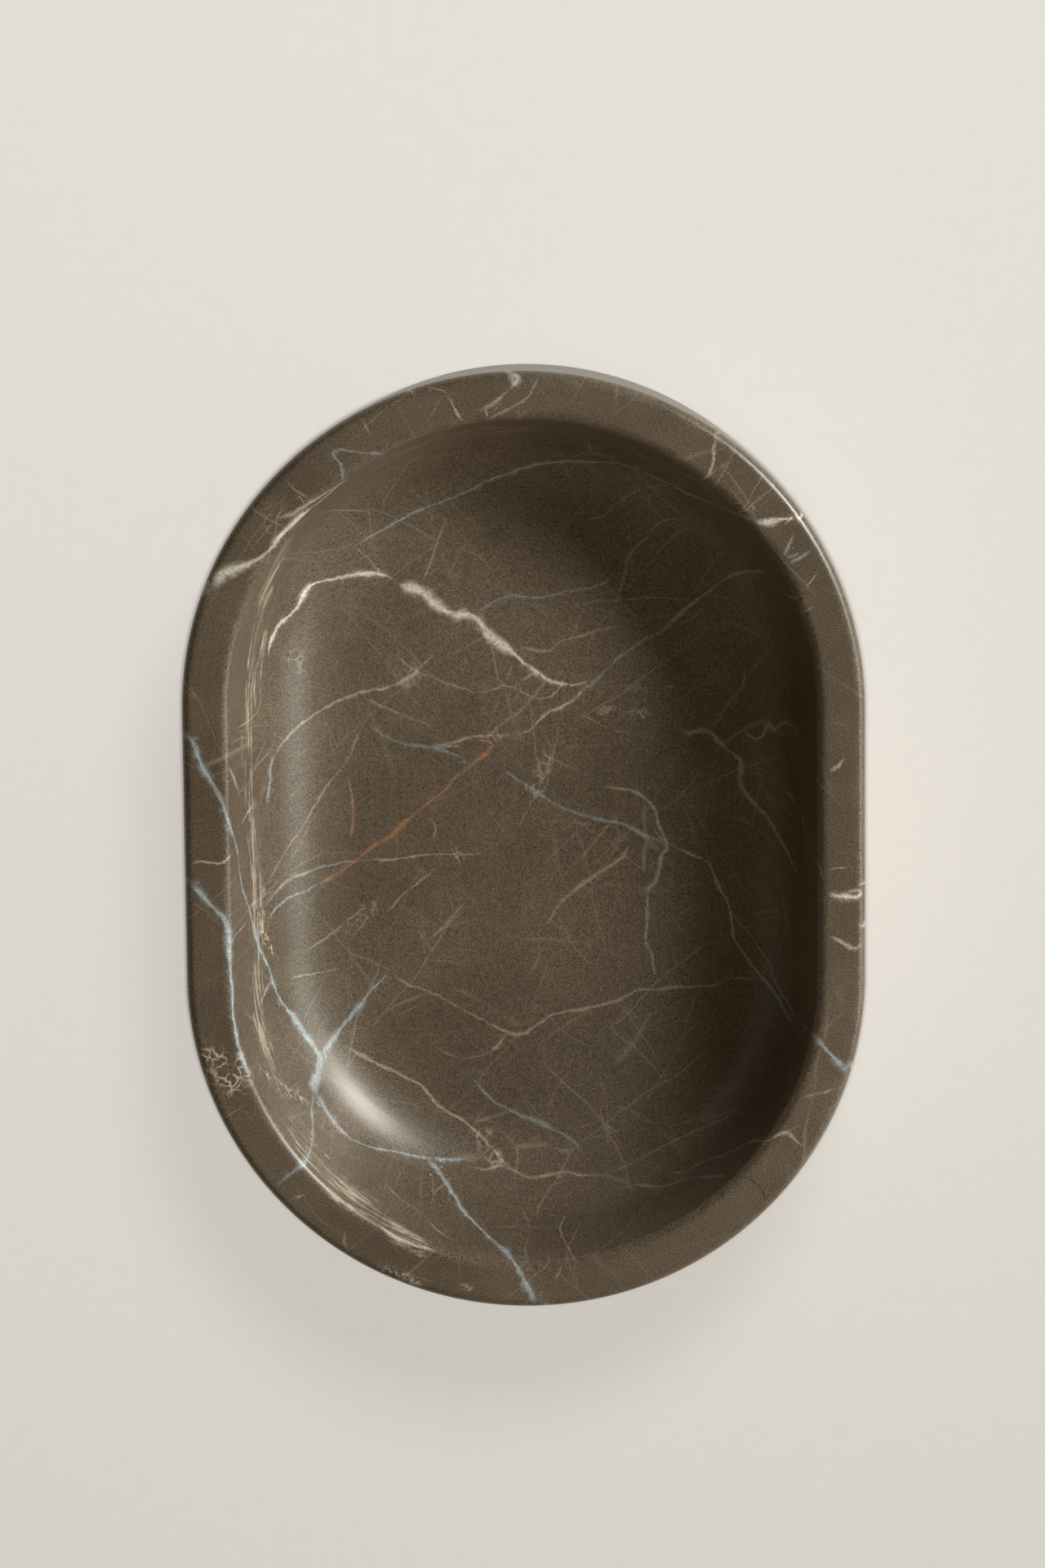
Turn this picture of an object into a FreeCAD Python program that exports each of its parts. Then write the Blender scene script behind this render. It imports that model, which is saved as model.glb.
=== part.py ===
import FreeCAD, Part
import math
import os

import Sketcher
from FreeCAD import Vector

# A soap dish carved from one block of stone, standing on four stick-on bumper feet.
# Millimetres, +Z up, +Y along the dish. The origin is on the table, under the middle of the dish.

SIZES = {
    "dish_length": 130.0,        # rim outline, end to end, before its edge is rounded
    "dish_width": 93.0,          # rim outline, side to side; the ends are half circles of this width
    "stone_height": 28.0,        # underside of the stone to the rim
    "outer_draft": 5.0,          # degrees by which the outer wall leans in towards the base
    "outer_edge_radius": 1.25,   # eased edge round the outside of the rim
    "base_chamfer": 1.5,         # edge ground off round the underside
    "rim_width": 6.4,            # flat top of the wall, between its two edges before they are rounded
    "inner_edge_radius": 1.6,    # eased edge round the mouth of the bowl
    "bowl_depth": 20.5,          # rim to bowl floor
    "bowl_draft": 15.0,          # degrees by which the bowl wall leans out towards the rim
    "bowl_radius": 15.0,         # sweep between the bowl wall and the bowl floor
    "foot_diameter": 10.0,       # bumper foot where it is stuck to the stone
    "foot_height": 1.8,          # bumper foot without its adhesive
    "foot_draft": 12.0,          # degrees by which the foot narrows towards the table
    "foot_chamfer": 0.4,         # broken edge where the foot meets the table
    "foot_edge_gap": 4.5,        # from the foot to the chamfer of the underside
    "foot_bearing": 45.0,        # degrees round the end, from the dish's width to its length
    "film_thickness": 0.2,       # adhesive disc between foot and stone
    "film_margin": 0.3,          # by which the adhesive disc is smaller than the foot all round
}

doc = FreeCAD.newDocument("soap_dish")
sheet = doc.addObject("Spreadsheet::Sheet", "sizes")
for row, (alias, value) in enumerate(SIZES.items(), start=1):
    sheet.set(f"A{row}", alias.replace("_", " "))
    sheet.set(f"B{row}", str(value))
    sheet.setAlias(f"B{row}", alias)
doc.recompute()

# Where the pieces seat on each other
STONE_UNDERSIDE = "sizes.foot_height + sizes.film_thickness"
BOWL_FLOOR = "sizes.stone_height - sizes.bowl_depth"
BASE_HALF_WIDTH = "(sizes.dish_width / 2 - sizes.stone_height * tan(sizes.outer_draft * 1 deg))"
FOOT_RING = f"({BASE_HALF_WIDTH} - sizes.base_chamfer - sizes.foot_edge_gap - sizes.foot_diameter / 2)"
FOOT_X = f"{FOOT_RING} * cos(sizes.foot_bearing * 1 deg)"
FOOT_Y = f"((sizes.dish_length - sizes.dish_width) / 2 + {FOOT_RING} * sin(sizes.foot_bearing * 1 deg))"
SIDES = {"left": -1, "right": 1}
ENDS = {"front": -1, "back": 1}


def level_sketch(body, name, height):
    """An empty sketch on the body's own XY plane, lifted to the height that the expression gives."""
    sketch = body.newObject("Sketcher::SketchObject", name)
    plane = next(feature for feature in body.Origin.OriginFeatures if feature.Role == "XY_Plane")
    sketch.AttachmentSupport = [(plane, "")]
    sketch.MapMode = "FlatFace"
    sketch.setExpression("AttachmentOffset.Base.z", height)
    return sketch


def bind(sketch, constraint, name, expression):
    """Add a dimension to the sketch and tie it to the sheet."""
    sketch.renameConstraint(sketch.addConstraint(constraint), name)
    sketch.setExpression(f"Constraints.{name}", expression)


def draw_stadium(sketch, length, width):
    """Two half circles joined by two straight sides, centred on the origin with the length along Y."""
    radius = sketch.evalExpression(f"({width}) / 2")
    reach = sketch.evalExpression(f"(({length}) - ({width})) / 2")
    up = Vector(0, 0, 1)
    far_circle = Part.Circle(Vector(0, reach, 0), up, radius)
    near_circle = Part.Circle(Vector(0, -reach, 0), up, radius)
    far, left, near, right = sketch.addGeometry([
        Part.ArcOfCircle(far_circle, 0, math.pi),
        Part.LineSegment(Vector(-radius, reach, 0), Vector(-radius, -reach, 0)),
        Part.ArcOfCircle(near_circle, math.pi, 2 * math.pi),
        Part.LineSegment(Vector(radius, -reach, 0), Vector(radius, reach, 0)),
    ])
    start, end, centre = 1, 2, 3
    origin, y_axis = (-1, 1), -2
    for first, second in ((far, left), (left, near), (near, right), (right, far)):
        sketch.addConstraint(Sketcher.Constraint("Tangent", first, end, second, start))
    sketch.addConstraint(Sketcher.Constraint("Equal", far, near))
    sketch.addConstraint(Sketcher.Constraint("Symmetric", far, centre, near, centre, *origin))
    sketch.addConstraint(Sketcher.Constraint("PointOnObject", far, centre, y_axis))
    bind(sketch, Sketcher.Constraint("Radius", far, radius), "end_radius", f"({width}) / 2")
    centres = Sketcher.Constraint("DistanceY", near, centre, far, centre, 2 * reach)
    bind(sketch, centres, "centre_distance", f"({length}) - ({width})")


def draw_circle(sketch, radius):
    """A circle about the origin."""
    start_radius = sketch.evalExpression(radius)
    circle = sketch.addGeometry(Part.Circle(Vector(0, 0, 0), Vector(0, 0, 1), start_radius))
    sketch.addConstraint(Sketcher.Constraint("Coincident", circle, 3, -1, 1))
    bind(sketch, Sketcher.Constraint("Radius", circle, start_radius), "circle_radius", radius)


def level_face(shape, height):
    """The flat face that lies at this height."""
    tolerance = 1e-4
    return next(face for face in shape.Faces
                if face.BoundBox.ZLength < tolerance and abs(face.BoundBox.ZMin - height) < tolerance)


def names_of(shape, wire):
    """Names of the shape's edges that run along the wire."""
    return [f"Edge{number}" for number, edge in enumerate(shape.Edges, start=1)
            if any(edge.isSame(other) for other in wire.Edges)]


def ease_edge(body, kind, name, height, size, inside=False):
    """Put a Fillet or a Chamfer on the outer, or the inside, border of the body's flat face at this height."""
    base = body.Tip
    face = level_face(base.Shape, body.evalExpression(height))
    wire = face.OuterWire
    if inside:
        wire = next(other for other in face.Wires if not other.isSame(face.OuterWire))
    edge = body.newObject(f"PartDesign::{kind}", name)
    edge.Base = (base, names_of(base.Shape, wire))
    edge.setExpression("Radius" if kind == "Fillet" else "Size", size)
    doc.recompute()


def make_dish():
    """The block leans in towards its base; the bowl is cut from the rim and swept into its floor."""
    body = doc.addObject("PartDesign::Body", "stone_dish")
    outline = level_sketch(body, "rim_outline", "sizes.stone_height")
    draw_stadium(outline, "sizes.dish_length", "sizes.dish_width")
    block = body.newObject("PartDesign::Pad", "block")
    block.Profile = outline
    block.Reversed = True
    block.setExpression("Length", "sizes.stone_height")
    block.setExpression("TaperAngle", "-sizes.outer_draft")
    doc.recompute()

    mouth = level_sketch(body, "mouth_outline", "sizes.stone_height")
    draw_stadium(mouth, "sizes.dish_length - 2 * sizes.rim_width", "sizes.dish_width - 2 * sizes.rim_width")
    bowl = body.newObject("PartDesign::Pocket", "bowl")
    bowl.Profile = mouth
    bowl.setExpression("Length", "sizes.bowl_depth")
    bowl.setExpression("TaperAngle", "-sizes.bowl_draft")
    doc.recompute()
    if bowl.Shape.Volume >= block.Shape.Volume:
        raise RuntimeError("the bowl cut nothing out of the block")

    ease_edge(body, "Fillet", "bowl_sweep", BOWL_FLOOR, "sizes.bowl_radius")
    ease_edge(body, "Fillet", "mouth_edge", "sizes.stone_height", "sizes.inner_edge_radius", inside=True)
    ease_edge(body, "Fillet", "rim_edge", "sizes.stone_height", "sizes.outer_edge_radius")
    ease_edge(body, "Chamfer", "base_edge", "0", "sizes.base_chamfer")
    body.setExpression("Placement.Base.z", STONE_UNDERSIDE)
    return body


def set_under_dish(piece, side, end):
    """Put a piece at its corner of the underside."""
    piece.setExpression("Placement.Base.x", f"{SIDES[side]} * {FOOT_X}")
    piece.setExpression("Placement.Base.y", f"{ENDS[end]} * {FOOT_Y}")


def make_foot(side, end):
    """A bumper: a short cone, widest at the stone, with its edge broken where it meets the table."""
    body = doc.addObject("PartDesign::Body", f"foot_{end}_{side}")
    outline = level_sketch(body, f"foot_outline_{end}_{side}", "sizes.foot_height")
    draw_circle(outline, "sizes.foot_diameter / 2")
    cone = body.newObject("PartDesign::Pad", f"foot_cone_{end}_{side}")
    cone.Profile = outline
    cone.Reversed = True
    cone.setExpression("Length", "sizes.foot_height")
    cone.setExpression("TaperAngle", "-sizes.foot_draft")
    doc.recompute()
    ease_edge(body, "Chamfer", f"foot_edge_{end}_{side}", "0", "sizes.foot_chamfer")
    set_under_dish(body, side, end)
    return body


def make_adhesive(side, end):
    """The thin disc of adhesive that holds the foot to the stone."""
    disc = doc.addObject("Part::Cylinder", f"adhesive_{end}_{side}")
    disc.setExpression("Radius", "sizes.foot_diameter / 2 - sizes.film_margin")
    disc.setExpression("Height", "sizes.film_thickness")
    disc.setExpression("Placement.Base.z", "sizes.foot_height")
    set_under_dish(disc, side, end)
    return disc


pieces = [make_dish()]
for end in ENDS:
    for side in SIDES:
        pieces.append(make_foot(side, end))
        pieces.append(make_adhesive(side, end))
for piece in pieces:
    piece.Label = piece.Name
doc.recompute()

for item in doc.Objects:
    if "Invalid" in item.State or "Error" in item.State:
        raise RuntimeError(f"{item.Label} did not compute: {item.State}")
for piece in pieces:
    if piece.Shape.isNull() or not piece.Shape.isValid() or len(piece.Shape.Solids) != 1:
        raise RuntimeError(f"{piece.Label} is not one sound solid")

os.makedirs("parts", exist_ok=True)
for piece in pieces:
    piece.Shape.exportStep(f"parts/{piece.Label}.step")
    box = piece.Shape.optimalBoundingBox(False)
    print(f"{piece.Label}: {piece.Shape.Volume:.1f} mm3, x {box.XMin:.2f} to {box.XMax:.2f}, "
          f"y {box.YMin:.2f} to {box.YMax:.2f}, z {box.ZMin:.2f} to {box.ZMax:.2f}")
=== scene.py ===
# %% [markdown]
# # A soap dish carved from veined brown marble
#
# The packed model gives the dish at its real size, lying on its feet with the bowl open to +Z. It stays
# the measure of everything here: the finished surfaces are laid on it, and nothing grows past its box.

# %% Load the packed model
import math

import bmesh
import bpy
import numpy as np
from mathutils import Matrix, Vector
from mathutils.bvhtree import BVHTree


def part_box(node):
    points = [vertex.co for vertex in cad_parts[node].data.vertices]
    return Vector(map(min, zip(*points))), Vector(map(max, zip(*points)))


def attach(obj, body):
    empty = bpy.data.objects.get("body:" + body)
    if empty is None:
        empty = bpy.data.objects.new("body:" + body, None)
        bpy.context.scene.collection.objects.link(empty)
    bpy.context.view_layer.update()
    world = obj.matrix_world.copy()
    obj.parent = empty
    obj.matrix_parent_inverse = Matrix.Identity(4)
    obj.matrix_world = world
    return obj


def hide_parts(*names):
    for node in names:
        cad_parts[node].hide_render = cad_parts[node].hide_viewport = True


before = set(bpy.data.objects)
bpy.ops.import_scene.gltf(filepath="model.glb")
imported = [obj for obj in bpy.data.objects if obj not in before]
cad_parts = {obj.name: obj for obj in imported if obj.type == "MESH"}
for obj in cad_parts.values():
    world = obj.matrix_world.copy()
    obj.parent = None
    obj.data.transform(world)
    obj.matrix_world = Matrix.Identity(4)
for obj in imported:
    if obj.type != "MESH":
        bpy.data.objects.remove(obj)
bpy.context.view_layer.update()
MM = 0.001

# %% [markdown]
# ## The section of the dish
#
# A carver grinds the same section all the way round: underside, ground-off base edge, leaning outer wall,
# eased rim, sloping bowl wall and a wide sweep into the flat bowl floor. A block with bevelled edges
# would do too, but every bevel would have to be matched to the packed model. So the section is drawn
# once, as seven points whose five inner corners are rounded. The outside corner of the rim is placed so
# that, once it is rounded, it just fills the CAD box.

# %% Draw the section
low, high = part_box("stone_dish")
OUTER_DRAFT = math.radians(5.0)
OUTER_EDGE = 1.25 * MM
BASE_CHAMFER = 1.5 * MM
ARRIS = 0.3 * MM
RIM_WIDTH = 6.4 * MM
INNER_EDGE = 1.6 * MM
BOWL_DEPTH = 20.5 * MM
BOWL_DRAFT = math.radians(15.0)
BOWL_SWEEP = 15.0 * MM
corner_reach = OUTER_EDGE * (math.tan(OUTER_DRAFT) + 1 / math.cos(OUTER_DRAFT) - 1)
END_RADIUS = high.x + corner_reach
SPINE_REACH = high.y + corner_reach - END_RADIUS
RIM_LEVEL = high.z
BASE_LEVEL = low.z


def rounded_section(corners, radii, line_steps, arc_steps):
    """A chain of straight lines whose inner corners are replaced by tangent arcs.

    An arc of radius r in a corner of angle a starts r / tan(a / 2) before the corner, ends as far after it,
    and is centred r / sin(a / 2) from the corner along the bisector.
    """
    corners = np.array(corners)
    chain, start = [], corners[0]
    for before, corner, after, radius, lines, arcs in zip(
            corners[:-2], corners[1:-1], corners[2:], radii, line_steps, arc_steps):
        back = (before - corner) / np.linalg.norm(before - corner)
        ahead = (after - corner) / np.linalg.norm(after - corner)
        half = math.acos(back @ ahead) / 2
        bisector = (back + ahead) / np.linalg.norm(back + ahead)
        centre = corner + bisector * radius / math.sin(half)
        first = corner + back * radius / math.tan(half) - centre
        last = corner + ahead * radius / math.tan(half) - centre
        turn = math.atan2(first[0] * last[1] - first[1] * last[0], first @ last)
        chain.append(np.linspace(start, centre + first, lines, endpoint=False))
        angles = np.linspace(0, turn, arcs, endpoint=False)[:, None]
        chain.append(centre + first * np.cos(angles) + np.array([-first[1], first[0]]) * np.sin(angles))
        start = centre + last
    chain.append(np.linspace(start, corners[-1], line_steps[-1] + 1))
    return np.concatenate(chain)


bowl_floor = RIM_LEVEL - BOWL_DEPTH
wall_foot = (RIM_LEVEL - BASE_LEVEL) * math.tan(OUTER_DRAFT)
chamfer_run = BASE_CHAMFER * math.sin(OUTER_DRAFT)
chamfer_rise = BASE_CHAMFER * math.cos(OUTER_DRAFT)
section = rounded_section(
    corners=[(END_RADIUS, BASE_LEVEL),
             (wall_foot + BASE_CHAMFER, BASE_LEVEL),
             (wall_foot - chamfer_run, BASE_LEVEL + chamfer_rise),
             (0.0, RIM_LEVEL),
             (RIM_WIDTH, RIM_LEVEL),
             (RIM_WIDTH + BOWL_DEPTH * math.tan(BOWL_DRAFT), bowl_floor),
             (END_RADIUS, bowl_floor)],
    radii=[ARRIS, ARRIS, OUTER_EDGE, INNER_EDGE, BOWL_SWEEP],
    line_steps=[11, 2, 34, 8, 16, 38],
    arc_steps=[2, 2, 8, 8, 34])
print("section:", len(section), "points, bowl floor at", round(bowl_floor / MM, 2), "mm")

# %% [markdown]
# ## Carrying the section round
#
# The outline is a stadium: every point of it stands square off a straight spine that runs along Y. A
# surface point is therefore the spine point, plus the outward direction times what the section leaves of
# the end radius. The rows that reach the spine fold onto themselves, and merging their doubles closes the
# shell.

# %% Carve the dish
END_STEPS = 200
SIDE_STEPS = 50
MERGE_GAP = 0.001 * MM


def stadium_stations(end_steps, side_steps):
    """Spine height and outward direction of each station, anticlockwise from the right side's near end."""
    up = np.linspace(-SPINE_REACH, SPINE_REACH, side_steps, endpoint=False)
    turn = np.linspace(0, math.pi, end_steps, endpoint=False)
    level = np.ones(end_steps) * SPINE_REACH
    spine = np.concatenate([up, level, -up, -level])
    angle = np.concatenate([np.zeros(side_steps), turn, np.full(side_steps, math.pi), turn + math.pi])
    return spine, np.cos(angle), np.sin(angle)


def carried_surface(section, stations):
    """Grid of points: spine + outward * (end radius - inset), at the section's height."""
    spine, across, along = stations
    inset, height = section[:, :1], section[:, 1:]
    reach = END_RADIUS - inset
    return np.stack([reach * across, spine + reach * along, height + 0 * across], axis=-1)


def closed_round_faces(rows, columns):
    """Quads of a grid whose last column joins its first, each wound so that it faces outwards."""
    this_row = np.arange(rows - 1)[:, None] * columns
    next_row = this_row + columns
    here = np.arange(columns)[None, :]
    there = (here + 1) % columns
    corners = [this_row + here, this_row + there, next_row + there, next_row + here]
    return np.stack(corners, axis=-1).reshape(-1, 4)


def grid_uv(grid):
    """Metres along the outline and the section at the corners of each quad, for the polishing marks."""
    ring = np.vstack([grid[len(grid) // 2], grid[len(grid) // 2, :1]])
    around = np.concatenate([[0], np.cumsum(np.linalg.norm(np.diff(ring, axis=0), axis=1))])
    along = np.concatenate([[0], np.cumsum(np.linalg.norm(np.diff(grid[:, 0], axis=0), axis=1))])
    u0, v0 = np.meshgrid(around[:-1], along[:-1])
    u1, v1 = np.meshgrid(around[1:], along[1:])
    return np.stack([u0, v0, u1, v0, u1, v1, u0, v1], axis=-1).reshape(-1, 2)


def new_piece(name, points, faces, uv):
    """A mesh object at the origin, with its doubles merged and its faces smooth."""
    mesh = bpy.data.meshes.new(name)
    mesh.from_pydata(points.reshape(-1, 3), [], faces)
    mesh.uv_layers.new(name="polish").data.foreach_set("uv", uv.astype(np.float32).ravel())
    shell = bmesh.new()
    shell.from_mesh(mesh)
    bmesh.ops.remove_doubles(shell, verts=shell.verts, dist=MERGE_GAP)
    shell.to_mesh(mesh)
    shell.free()
    mesh.polygons.foreach_set("use_smooth", np.ones(len(mesh.polygons), bool))
    piece = bpy.data.objects.new(name, mesh)
    bpy.context.scene.collection.objects.link(piece)
    return piece


surface = carried_surface(section, stadium_stations(END_STEPS, SIDE_STEPS))
dish = new_piece("carved_dish", surface, closed_round_faces(*surface.shape[:2]), grid_uv(surface))
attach(dish, "root")
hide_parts("stone_dish")
print("dish:", len(dish.data.vertices), "vertices,", len(dish.data.polygons), "faces")

# %% [markdown]
# ## The camera
#
# The photograph looks almost square into the bowl, from a little towards the far end. Its outline gives
# the direction, and its weak perspective the distance. The camera aims at the point that lies in the
# middle of the frame, so no lens shift is needed.

# %% Place the camera
FRAME_WIDTH, FRAME_HEIGHT = 1280, 1920
VIEW_LIFT = math.radians(10.6)
VIEW_SWING = math.radians(1.4)
VIEW_ROLL = math.radians(-0.55)
VIEW_DISTANCE = 0.9
PIXELS_PER_MM = 9.0
DISH_PIXEL = (642.0, 1036.0)
SENSOR = 36.0

rim_centre = Vector((0, 0, RIM_LEVEL))
back = Vector((math.sin(VIEW_SWING) * math.cos(VIEW_LIFT), math.sin(VIEW_LIFT),
               math.cos(VIEW_SWING) * math.cos(VIEW_LIFT)))
level_right = Vector((0, 1, 0)).cross(back).normalized()
level_up = back.cross(level_right)
right = math.cos(VIEW_ROLL) * level_right + math.sin(VIEW_ROLL) * level_up
up = back.cross(right)
metres_per_pixel = MM / PIXELS_PER_MM
pixels_right = FRAME_WIDTH / 2 - DISH_PIXEL[0]
pixels_down = FRAME_HEIGHT / 2 - DISH_PIXEL[1]
slide = (right * pixels_right - up * pixels_down) * metres_per_pixel
eye = rim_centre + back * VIEW_DISTANCE + slide
focal_pixels = VIEW_DISTANCE / metres_per_pixel

camera_data = bpy.data.cameras.new("photo_camera")
camera_data.sensor_width = SENSOR
camera_data.lens = SENSOR * focal_pixels / FRAME_HEIGHT
camera = bpy.data.objects.new("photo_camera", camera_data)
camera.matrix_world = Matrix.Translation(eye) @ Matrix((right, up, back)).transposed().to_4x4()
bpy.context.scene.collection.objects.link(camera)
bpy.context.scene.camera = camera
print("camera:", round(camera_data.lens, 1), "mm lens at", [round(x, 3) for x in eye])

# %% [markdown]
# ## Where the veins run
#
# Veins are cracks that filled with paler or rustier mineral while the stone lay in the ground, so every
# block has its own. They are what makes this dish recognisable, so their routes are read off the
# photograph: each is a short list of points (pixel across, pixel down, width in pixels) with a
# curve drawn through them. A route also has a colour and a strength. Milk and ice are the broad, bright
# ones that lie over all the others.

# %% Broad veins of milk and ice


def srgb(red, green, blue):
    """A screen colour, 0 to 255, as the linear colour that a shader takes."""
    share = np.array([red, green, blue]) / 255
    linear = np.where(share <= 0.04045, share / 12.92, ((share + 0.055) / 1.055) ** 2.4)
    return (*linear.tolist(), 1.0)


MILK = srgb(196, 189, 178)
ICE = srgb(146, 158, 161)
CREAM = srgb(182, 169, 150)
RUST = srgb(146, 106, 74)
PINK = srgb(152, 116, 96)
# Colour of pale fibres, which on the near left wall also paints a highlight.
FIBRE_AND_HIGHLIGHT = srgb(184, 171, 152)
SMOKE = srgb(150, 142, 127)
INK = srgb(32, 28, 24)

BROAD_VEINS = {
    "milk arch": (MILK, 0.95, [
        (328, 806, 2), (332, 785, 4), (340, 767, 7), (350, 757, 11), (359, 749, 11), (366, 741, 9),
        (372, 727, 8), (383, 715, 7), (398, 711, 7), (423, 706, 7), (442, 703, 6), (465, 703, 5),
        (480, 708, 3)]),
    "milk body": (MILK, 0.95, [
        (488, 716, 3), (500, 719, 13), (516, 724, 17), (528, 735, 12), (544, 747, 10), (560, 753, 13),
        (579, 754, 13), (592, 768, 9), (604, 783, 11), (617, 790, 13), (628, 799, 8), (641, 811, 5),
        (661, 825, 4), (672, 833, 4), (690, 837, 5), (704, 839, 4), (720, 833, 3)]),
    "milk wedge": (MILK, 0.8, [
        (261, 719, 4), (269, 705, 15), (283, 699, 12), (305, 690, 7), (328, 676, 6), (340, 660, 6),
        (359, 641, 8), (375, 627, 8), (398, 609, 6), (417, 592, 5), (426, 588, 3)]),
    "ice left": (ICE, 0.9, [
        (231, 897, 7), (238, 913, 8), (248, 939, 6), (262, 963, 7), (273, 985, 10), (278, 1001, 8),
        (288, 1030, 6), (292, 1052, 5), (296, 1084, 5), (304, 1110, 6), (310, 1132, 8), (318, 1161, 7),
        (329, 1183, 7), (334, 1202, 7), (343, 1224, 7), (359, 1244, 8), (374, 1267, 8), (388, 1287, 12),
        (391, 1299, 16), (388, 1317, 17), (385, 1334, 13), (386, 1344, 8)]),
    "ice left fork to the rim": (ICE, 0.6, [
        (384, 1336, 7), (382, 1359, 5), (383, 1378, 4), (382, 1400, 5), (377, 1416, 4), (371, 1426, 6),
        (359, 1435, 4), (347, 1445, 5), (337, 1455, 4)]),
    "ice left fork to the floor": (ICE, 0.8, [
        (389, 1338, 9), (399, 1359, 8), (410, 1375, 7), (420, 1386, 6), (430, 1394, 5), (446, 1402, 4),
        (465, 1407, 4), (484, 1410, 4), (503, 1414, 4), (522, 1418, 5), (538, 1419, 4), (557, 1420, 5),
        (573, 1419, 3)]),
    "ice branch": (ICE, 0.85, [
        (392, 1291, 8), (399, 1284, 8), (410, 1271, 7), (423, 1252, 7), (439, 1233, 6), (455, 1213, 6),
        (466, 1201, 4), (477, 1188, 3)]),
    "ice along the left rim": (ICE, 0.85, [
        (233, 1082, 5), (241, 1089, 6), (251, 1100, 5), (264, 1114, 5), (276, 1126, 6), (280, 1141, 9),
        (281, 1154, 10), (281, 1173, 9), (283, 1194, 8), (285, 1215, 6), (285, 1237, 6), (288, 1259, 6),
        (292, 1282, 6), (299, 1301, 6), (305, 1317, 5)]),
    "ice link": (ICE, 0.6, [(284, 1152, 5), (290, 1144, 5), (297, 1135, 5), (304, 1127, 3)]),
    "ice to the near end": (ICE, 0.8, [
        (525, 1418, 6), (535, 1432, 8), (548, 1451, 8), (560, 1470, 8), (570, 1486, 9), (583, 1499, 8),
        (602, 1518, 9), (618, 1531, 9), (629, 1544, 10), (637, 1559, 13), (646, 1575, 12), (660, 1601, 9)]),
    "ice arc": (ICE, 0.55, [
        (434, 669, 3), (455, 656, 4), (477, 644, 5), (506, 628, 5), (538, 615, 6), (567, 604, 5),
        (600, 588, 6), (624, 579, 5), (654, 570, 5), (677, 566, 4), (699, 565, 4), (728, 566, 4),
        (750, 566, 4), (766, 570, 4), (791, 580, 4), (823, 594, 4), (842, 604, 4), (865, 613, 4),
        (887, 623, 4), (909, 632, 5), (927, 638, 6)]),
    "ice arc across the rim": (MILK, 0.85, [
        (923, 637, 4), (932, 639, 7), (951, 637, 7), (970, 634, 6), (979, 634, 7), (985, 626, 6)]),
    "white on the right rim": (MILK, 0.8, [
        (1014, 1095, 4), (1027, 1097, 6), (1042, 1098, 6), (1051, 1097, 5), (1058, 1088, 4)]),
    "ice on the near right rim": (ICE, 0.75, [
        (993, 1265, 6), (1005, 1277, 8), (1018, 1291, 7), (1030, 1304, 8), (1043, 1313, 9)]),
    "white hook on the far rim": (MILK, 0.7, [(625, 455, 5), (633, 461, 7), (632, 469, 6), (625, 476, 3)]),
}
print(len(BROAD_VEINS), "broad veins")

# %% [markdown]
# ## Fine veins
#
# Thinner veins in cream, rust and smoke cross the bowl between the broad ones. The long diagonal changes
# colour on its way, because different water ran in at each end, so it is several routes that overlap a
# little.

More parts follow.
